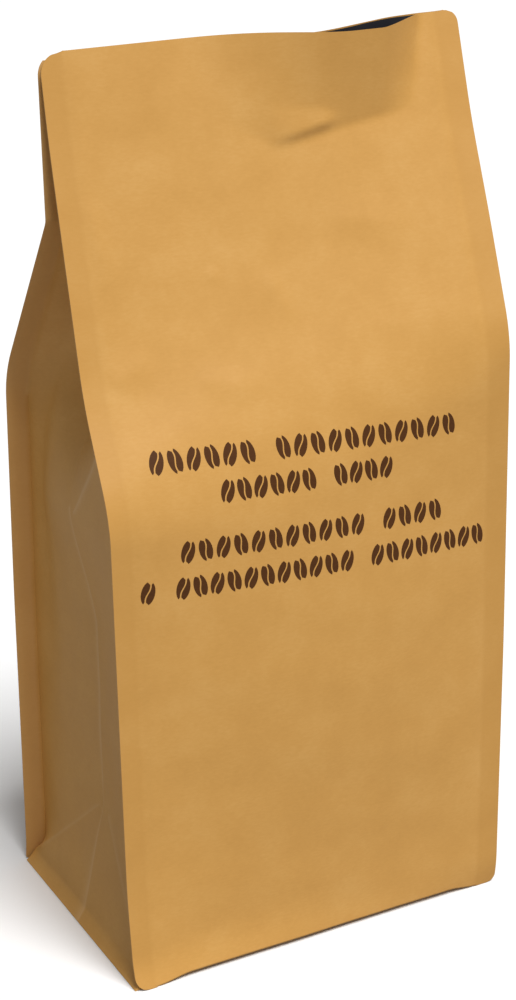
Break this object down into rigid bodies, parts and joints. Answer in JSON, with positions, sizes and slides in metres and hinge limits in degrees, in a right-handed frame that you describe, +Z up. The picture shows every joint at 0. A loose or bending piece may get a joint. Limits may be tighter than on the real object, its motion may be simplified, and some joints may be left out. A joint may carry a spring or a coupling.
{
  "type": "coffee bag",
  "caption": "Standing kraft paper coffee bag with flat bottom, folded side gussets, sealed edge fins and a plain flat header that gapes slightly at the top.",
  "frame": {"origin": "middle of the base, on the floor", "axes": "+Z up, the printed front faces -Y, +X to the right seen from the front"},
  "size_m": [0.1506, 0.109, 0.3192],
  "materials": {
    "kraft_paper": "matte natural kraft paper with a faint satin from its film lining",
    "lining": "dark satin film inside the mouth",
    "print": "matte dark brown ink"
  },
  "bodies": {
    "root": {"bag": "kraft_paper"}
  },
  "joints": []
}
